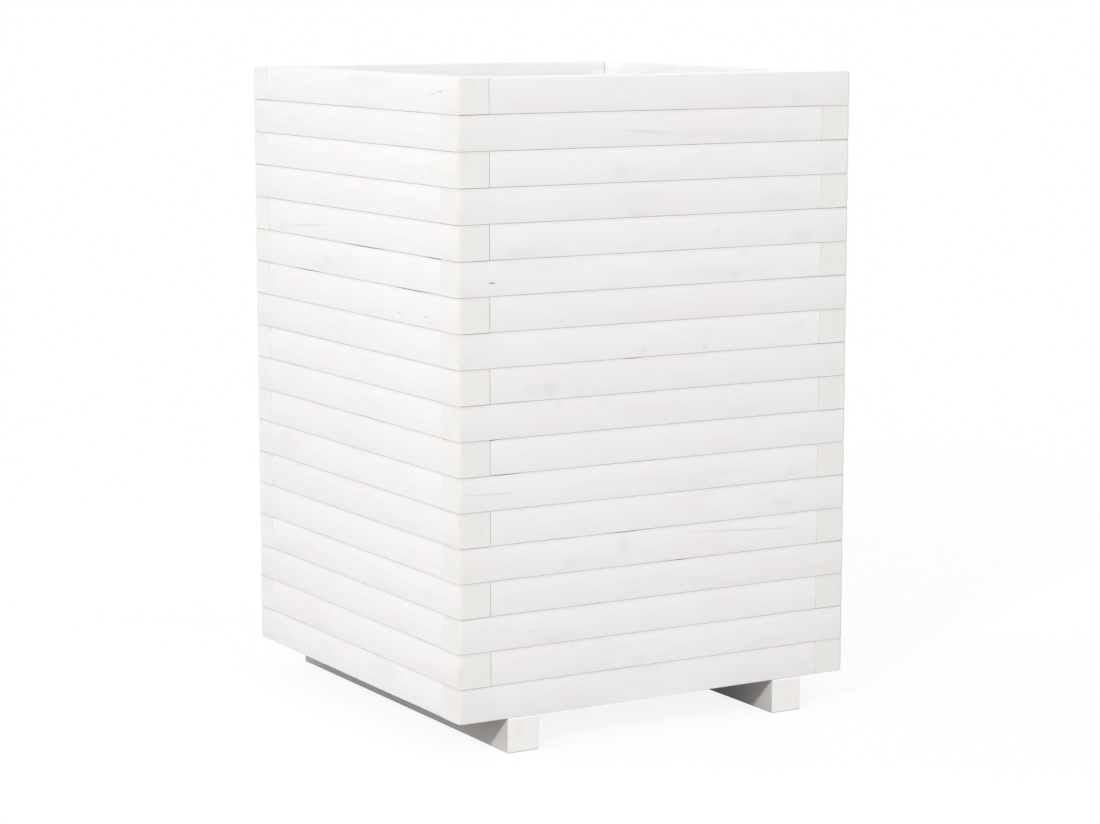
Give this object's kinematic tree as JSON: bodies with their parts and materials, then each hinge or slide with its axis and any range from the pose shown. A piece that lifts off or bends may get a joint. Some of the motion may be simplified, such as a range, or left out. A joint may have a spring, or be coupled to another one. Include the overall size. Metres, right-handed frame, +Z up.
{
  "type": "raised planter",
  "caption": "Tall square garden planter of white painted timber bars stacked with lapped corners, open at the top, with a slatted floor, standing on two foot runners.",
  "frame": {"origin": "on the ground, midway between the two foot runners and midway from front to back", "axes": "+Z up, +Y from the front to the back along the foot runners, +X to the right seen from the front"},
  "size_m": [0.495, 0.495, 0.715],
  "materials": {
    "white_pine": "thin white paint over planed softwood, matt",
    "zinc_screws": "bright zinc plate"
  },
  "bodies": {
    "root": {"course_01_front_back": "white_pine", "course_02_front_back": "white_pine", "course_03_front_back": "white_pine", "course_04_front_back": "white_pine", "course_05_front_back": "white_pine", "course_06_front_back": "white_pine", "course_07_front_back": "white_pine", "course_08_front_back": "white_pine", "course_09_front_back": "white_pine", "course_10_front_back": "white_pine", "course_11_front_back": "white_pine", "course_12_front_back": "white_pine", "course_13_front_back": "white_pine", "course_14_front_back": "white_pine", "course_15_front_back": "white_pine", "course_16_front_back": "white_pine", "course_17_front_back": "white_pine", "course_18_front_back": "white_pine", "course_01_left_right": "white_pine", "course_02_left_right": "white_pine", "course_03_left_right": "white_pine", "course_04_left_right": "white_pine", "course_05_left_right": "white_pine", "course_06_left_right": "white_pine", "course_07_left_right": "white_pine", "course_08_left_right": "white_pine", "course_09_left_right": "white_pine", "course_10_left_right": "white_pine", "course_11_left_right": "white_pine", "course_12_left_right": "white_pine", "course_13_left_right": "white_pine", "course_14_left_right": "white_pine", "course_15_left_right": "white_pine", "course_16_left_right": "white_pine", "course_17_left_right": "white_pine", "course_18_left_right": "white_pine", "left_runner": "white_pine", "right_runner": "white_pine", "front_left_post": "white_pine", "front_right_post": "white_pine", "back_left_post": "white_pine", "back_right_post": "white_pine", "floor_board_1": "white_pine", "floor_board_2": "white_pine", "floor_board_3": "white_pine", "floor_board_4": "white_pine", "floor_board_5": "white_pine", "front_left_post_screws": "zinc_screws", "front_right_post_screws": "zinc_screws", "back_left_post_screws": "zinc_screws", "back_right_post_screws": "zinc_screws", "floor_screws": "zinc_screws", "runner_screws": "zinc_screws"}
  },
  "joints": []
}
